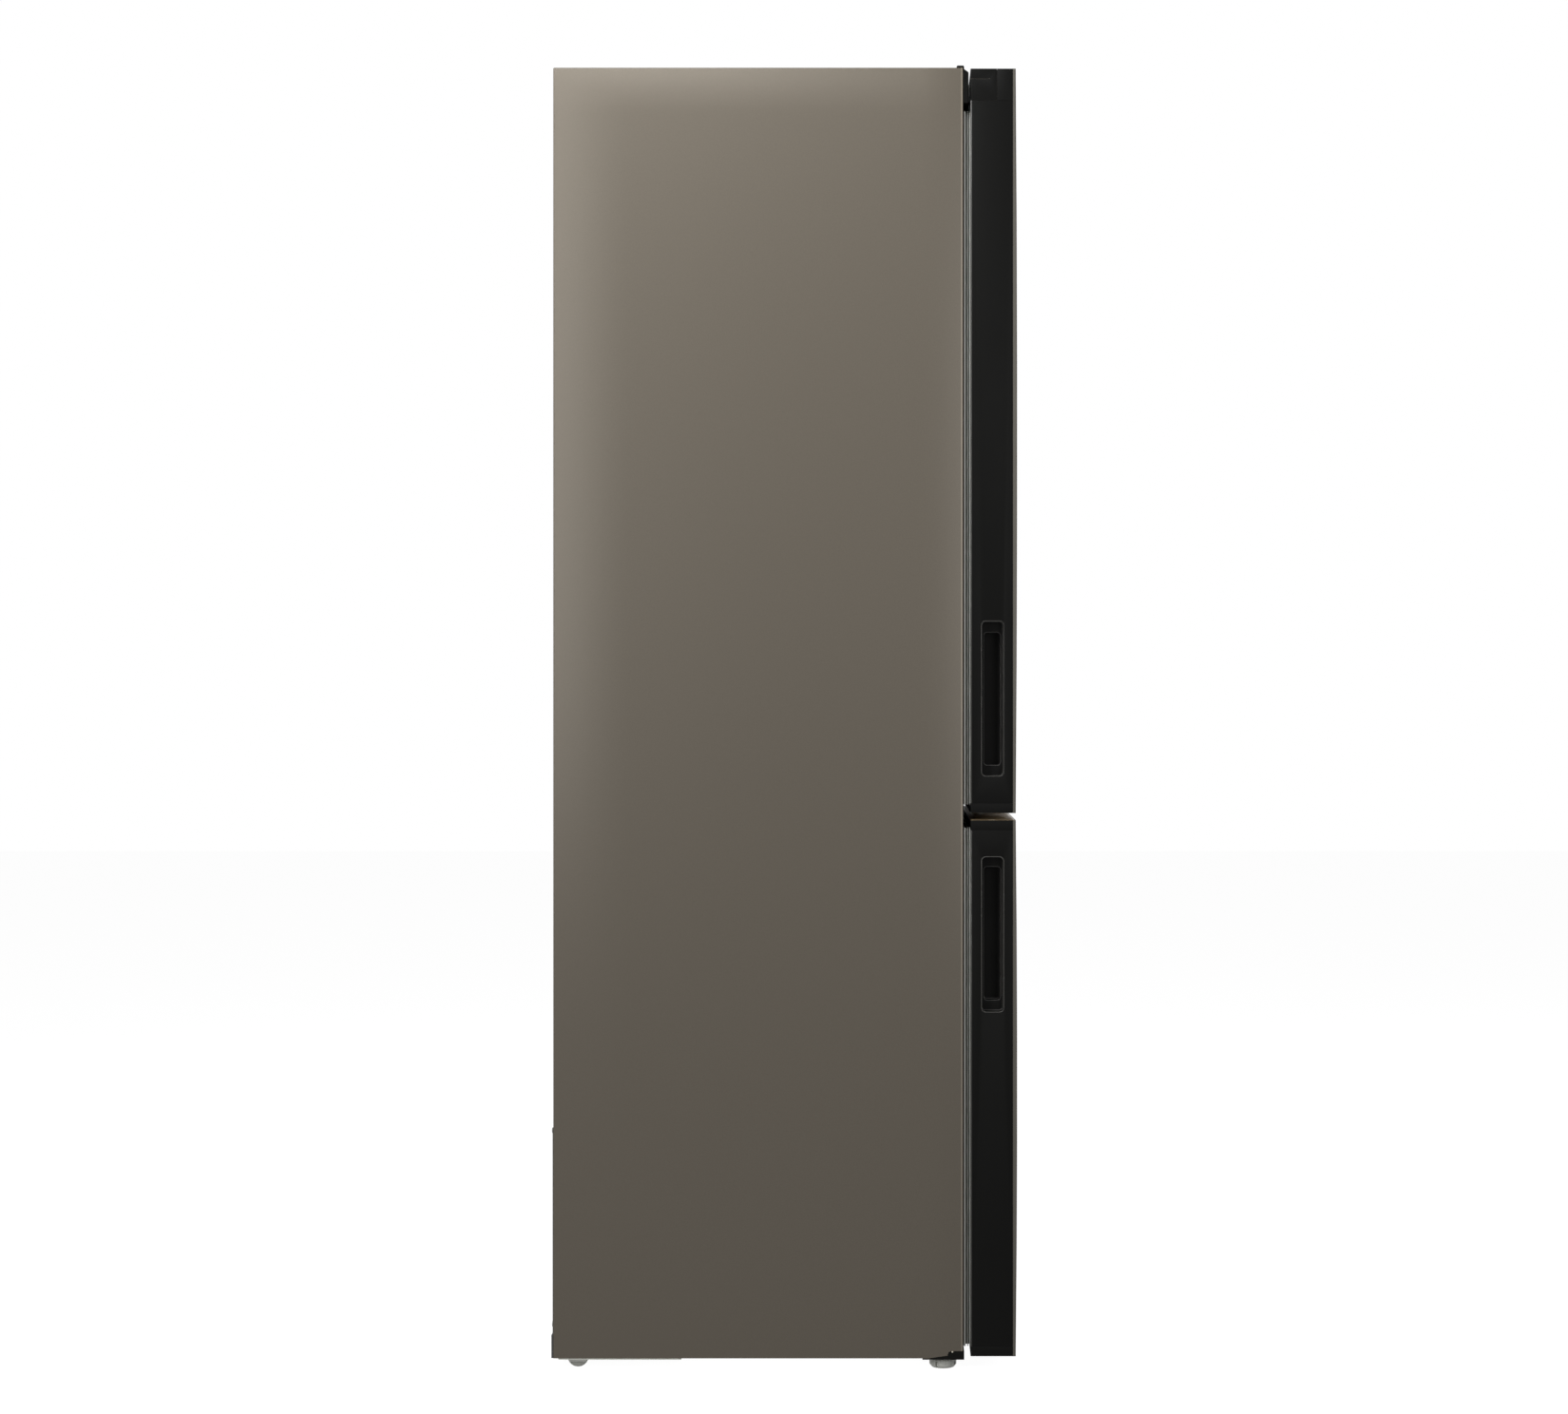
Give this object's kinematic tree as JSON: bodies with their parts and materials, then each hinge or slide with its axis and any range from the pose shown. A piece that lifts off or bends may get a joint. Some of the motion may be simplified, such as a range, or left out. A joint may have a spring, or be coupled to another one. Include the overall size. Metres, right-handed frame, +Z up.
{
  "type": "refrigerator",
  "caption": "Tall two-door refrigerator with a freezer below, recessed edge grips, shelves, drawers and bins, on levelling feet and rear rollers.",
  "frame": {"origin": "centre of the object's bounding box at floor level, under the cabinet", "axes": "+Z up, -Y towards the doors' fronts, +X towards the doors' hinges"},
  "size_m": [0.595, 0.6609, 1.853],
  "materials": {
    "side_steel": "fine-grained satin coating",
    "galvanised_steel": "zinc-coated, satin",
    "insulation": "matte",
    "liner_white": "satin gloss",
    "front_steel": "brushed, satin",
    "trim_black": "fine matte",
    "gasket_grey": "soft satin",
    "shelf_glass": "clear, polished edges",
    "drawer_plastic": "clear, glossy",
    "shelf_lip": "satin",
    "compressor_black": "semi-gloss enamel",
    "pan_plastic": "matte",
    "copper_pipe": "dull copper",
    "condenser_black": "dipped enamel",
    "evaporator_aluminium": "mill finish",
    "foot_grey": "matte"
  },
  "bodies": {
    "cabinet": {"cabinet_shell": "side_steel", "back_panel": "galvanised_steel", "step_plate": "galvanised_steel", "cabinet_foam": "insulation", "fridge_liner": "liner_white", "freezer_liner": "liner_white", "center_rail": "side_steel", "top_front_trim": "trim_black", "top_hinge": "galvanised_steel", "mid_hinge": "galvanised_steel", "bottom_hinge": "galvanised_steel", "corner_bracket": "trim_black", "glass_shelves": "shelf_glass", "shelf_trims": "shelf_lip", "crisper_cover": "shelf_glass", "air_duct": "liner_white", "fridge_lamp": "drawer_plastic", "evaporator_cover": "liner_white", "evaporator": "evaporator_aluminium", "evaporator_fan_motor": "pan_plastic", "base_tray": "galvanised_steel", "roller_brackets": "galvanised_steel", "rear_cover": "galvanised_steel", "cord_gland": "trim_black", "compressor": "compressor_black", "drain_pan": "pan_plastic", "refrigerant_pipes": "copper_pipe", "condenser": "condenser_black", "condenser_fan_frame": "pan_plastic", "screws": "galvanised_steel"},
    "fridge_door": {"fridge_door_panel": "front_steel", "fridge_door_side_trims": "trim_black", "fridge_door_end_caps": "trim_black", "fridge_door_corner_cap": "trim_black", "fridge_door_foam": "insulation", "fridge_door_liner": "liner_white", "fridge_door_gasket": "gasket_grey", "fridge_door_grip": "trim_black", "bottle_bin": "drawer_plastic", "door_bin_lower": "drawer_plastic", "door_bin_middle": "drawer_plastic", "door_bin_upper": "drawer_plastic"},
    "freezer_door": {"freezer_door_panel": "front_steel", "freezer_door_side_trims": "trim_black", "freezer_door_end_caps": "trim_black", "freezer_door_foam": "insulation", "freezer_door_liner": "liner_white", "freezer_door_gasket": "gasket_grey", "freezer_door_grip": "trim_black"},
    "crisper_drawer": {"crisper_drawer": "drawer_plastic"},
    "chill_drawer": {"chill_drawer": "drawer_plastic"},
    "freezer_drawer_bottom": {"freezer_drawer_bottom": "drawer_plastic"},
    "freezer_drawer_middle": {"freezer_drawer_middle": "drawer_plastic"},
    "freezer_drawer_top": {"freezer_drawer_top": "drawer_plastic"},
    "evaporator_fan": {"evaporator_fan": "pan_plastic"},
    "condenser_fan": {"condenser_fan": "pan_plastic"},
    "rear_roller_left": {"rear_roller_left": "foot_grey"},
    "rear_roller_right": {"rear_roller_right": "foot_grey"},
    "front_foot_left": {"front_foot_left": "foot_grey"},
    "front_foot_right": {"front_foot_right": "foot_grey"}
  },
  "joints": [
    {"name": "fridge_door_hinge", "type": "hinge", "parent": "cabinet", "child": "fridge_door", "pos_m": [0.2835, -0.2863, 1.3], "axis": [0, 0, 1], "range_deg": [0, 115]},
    {"name": "freezer_door_hinge", "type": "hinge", "parent": "cabinet", "child": "freezer_door", "pos_m": [0.2835, -0.2863, 0.4], "axis": [0, 0, 1], "range_deg": [0, 115]},
    {"name": "crisper_drawer_slide", "type": "slide", "parent": "cabinet", "child": "crisper_drawer", "axis": [0, -1, 0], "range_m": [0, 0.202]},
    {"name": "chill_drawer_slide", "type": "slide", "parent": "cabinet", "child": "chill_drawer", "axis": [0, -1, 0], "range_m": [0, 0.202]},
    {"name": "freezer_drawer_bottom_slide", "type": "slide", "parent": "cabinet", "child": "freezer_drawer_bottom", "axis": [0, -1, 0], "range_m": [0, 0.168]},
    {"name": "freezer_drawer_middle_slide", "type": "slide", "parent": "cabinet", "child": "freezer_drawer_middle", "axis": [0, -1, 0], "range_m": [0, 0.168]},
    {"name": "freezer_drawer_top_slide", "type": "slide", "parent": "cabinet", "child": "freezer_drawer_top", "axis": [0, -1, 0], "range_m": [0, 0.168]},
    {"name": "evaporator_fan_spin", "type": "hinge", "parent": "cabinet", "child": "evaporator_fan", "pos_m": [0, 0.211, 0.65], "axis": [0, 1, 0], "continuous": true},
    {"name": "condenser_fan_spin", "type": "hinge", "parent": "cabinet", "child": "condenser_fan", "pos_m": [-0.038, 0.232, 0.104], "axis": [1, 0, 0], "continuous": true},
    {"name": "rear_roller_left_spin", "type": "hinge", "parent": "cabinet", "child": "rear_roller_left", "pos_m": [-0.2575, 0.296, 0.015], "axis": [1, 0, 0], "continuous": true},
    {"name": "rear_roller_right_spin", "type": "hinge", "parent": "cabinet", "child": "rear_roller_right", "pos_m": [0.2575, 0.296, 0.015], "axis": [1, 0, 0], "continuous": true},
    {"name": "front_foot_left_spin", "type": "hinge", "parent": "cabinet", "child": "front_foot_left", "pos_m": [-0.262, -0.2256, 0], "axis": [0, 0, 1], "continuous": true},
    {"name": "front_foot_right_spin", "type": "hinge", "parent": "cabinet", "child": "front_foot_right", "pos_m": [0.262, -0.2256, 0], "axis": [0, 0, 1], "continuous": true}
  ],
  "couplings": [
    {"joint": "crisper_drawer_slide", "follows": "fridge_door_hinge", "m_per_rad": 0.1},
    {"joint": "chill_drawer_slide", "follows": "fridge_door_hinge", "m_per_rad": 0.1},
    {"joint": "freezer_drawer_bottom_slide", "follows": "freezer_door_hinge", "m_per_rad": 0.083},
    {"joint": "freezer_drawer_middle_slide", "follows": "freezer_door_hinge", "m_per_rad": 0.083},
    {"joint": "freezer_drawer_top_slide", "follows": "freezer_door_hinge", "m_per_rad": 0.083}
  ]
}
